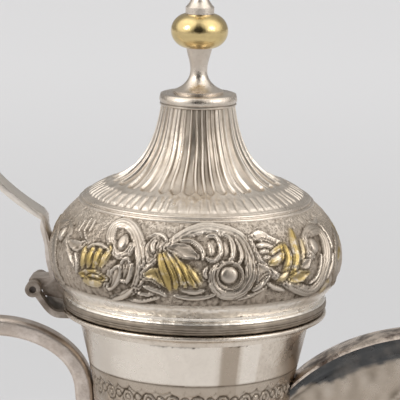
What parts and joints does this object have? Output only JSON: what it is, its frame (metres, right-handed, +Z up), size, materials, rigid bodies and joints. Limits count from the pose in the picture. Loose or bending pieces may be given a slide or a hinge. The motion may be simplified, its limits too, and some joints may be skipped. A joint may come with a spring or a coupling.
{
  "type": "dallah coffee pot",
  "caption": "Waisted silver coffee pot with a beak spout, bowed handle and a hinged onion-domed lid with thumb lever and finial.",
  "frame": {"origin": "middle of the flat base, on the surface that the pot stands on", "axes": "+Z up along the pot's axis, +X along the spout, the handle and hinge on -X, the hinge axis along Y"},
  "size_m": [0.2626, 0.1388, 0.311],
  "materials": {
    "silver_sheet": "worn raised silver with brown patina in the recesses",
    "silver_cast": "worn cast and forged silver",
    "gilt": "worn fire gilding over silver",
    "iron_pin": "dull dark iron"
  },
  "bodies": {
    "pot": {"base_plate": "silver_sheet", "foot_ring": "silver_sheet", "belly": "silver_sheet", "waist_ring": "silver_sheet", "neck": "silver_sheet", "mouth_flange": "silver_sheet", "spout_near_cheek": "silver_sheet", "spout_far_cheek": "silver_sheet", "spout_cover": "silver_sheet", "handle": "silver_cast", "handle_foot": "silver_cast", "hinge_bracket": "silver_cast", "hinge_pin": "iron_pin"},
    "lid": {"thumb_lever": "silver_cast", "lid_base_ring": "silver_sheet", "lid_bezel": "silver_sheet", "lid_dome": "silver_sheet", "seam_ring": "silver_sheet", "lid_spire": "silver_sheet", "crown_collar": "silver_sheet", "finial_foot": "silver_cast", "finial_knop": "gilt", "finial_collar": "silver_cast", "finial_bud": "gilt", "finial_rod": "iron_pin", "finial_nut": "silver_cast"}
  },
  "joints": [
    {"name": "lid_hinge", "type": "hinge", "parent": "pot", "child": "lid", "pos_m": [-0.0611, 0, 0.1745], "axis": [0, -1, 0], "range_deg": [0, 86]}
  ]
}
